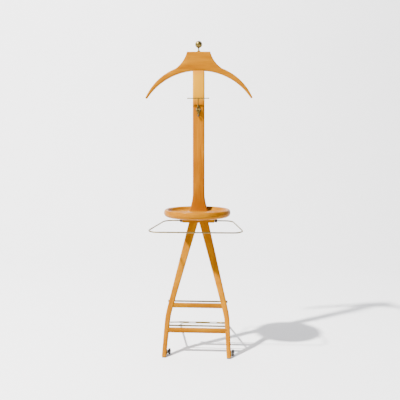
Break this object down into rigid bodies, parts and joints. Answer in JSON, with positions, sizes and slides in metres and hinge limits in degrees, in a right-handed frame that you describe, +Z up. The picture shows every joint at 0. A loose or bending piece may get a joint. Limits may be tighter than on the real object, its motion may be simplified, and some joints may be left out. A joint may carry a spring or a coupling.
{
  "type": "valet stand",
  "caption": "Lacquered wooden valet stand: curved hanger on a flared column, dished tray, swinging brass trouser bar, tilting tie bar, A-frame legs with shoe rungs and a rear rod prop.",
  "frame": {"origin": "on the floor, at the middle of the stand's bounding box", "axes": "+Z up, +X to the stand's right as it is seen from the front, -Y to the front"},
  "size_m": [0.404, 0.501, 1.1665],
  "materials": {
    "beech": "honey lacquer, glossy",
    "brass": "polished, slightly aged",
    "steel": "brushed",
    "dark_metal": "dark bronze",
    "dark_plastic": "dark brown, glossy",
    "grey_rubber": "matte",
    "dark_rubber": "matte"
  },
  "bodies": {
    "stand": {"hanger": "beech", "finial": "brass", "finial_collar": "brass", "column": "beech", "tray": "beech", "leg_block": "beech", "left_leg": "beech", "right_leg": "beech", "foot_pads": "dark_rubber", "upper_rung": "beech", "lower_rung": "beech", "upper_shoe_rod": "brass", "lower_shoe_rod": "brass", "upper_rod_caps": "dark_plastic", "lower_rod_caps": "dark_plastic", "upper_rod_studs": "steel", "lower_rod_studs": "steel", "left_bar_bracket": "dark_metal", "right_bar_bracket": "dark_metal", "bracket_screws": "steel", "tie_bracket": "brass", "tie_pin": "steel", "hook_knob": "dark_metal", "plate_screws": "brass", "left_axle": "steel", "right_axle": "steel", "left_wheel_arm": "dark_metal", "right_wheel_arm": "dark_metal", "rear_prop": "brass", "prop_sleeves": "grey_rubber", "column_bolts": "steel", "leg_dowels": "beech", "hanger_pins": "beech"},
    "trouser_bar": {"trouser_bar": "brass"},
    "tie_bar": {"tie_bar": "brass"},
    "left_wheel": {"left_wheel": "dark_plastic"},
    "right_wheel": {"right_wheel": "dark_plastic"}
  },
  "joints": [
    {"name": "trouser_bar_swing", "type": "hinge", "parent": "stand", "child": "trouser_bar", "pos_m": [0, -0.048, 0.491], "axis": [1, 0, 0], "range_deg": [0, 65]},
    {"name": "tie_bar_tilt", "type": "hinge", "parent": "stand", "child": "tie_bar", "pos_m": [0, -0.068, 0.912], "axis": [1, 0, 0], "range_deg": [0, 90]},
    {"name": "left_wheel_spin", "type": "hinge", "parent": "stand", "child": "left_wheel", "pos_m": [-0.10285, -0.15018, 0.012], "axis": [1, 0, 0], "continuous": true},
    {"name": "right_wheel_spin", "type": "hinge", "parent": "stand", "child": "right_wheel", "pos_m": [0.13456, -0.15018, 0.012], "axis": [1, 0, 0], "continuous": true}
  ]
}
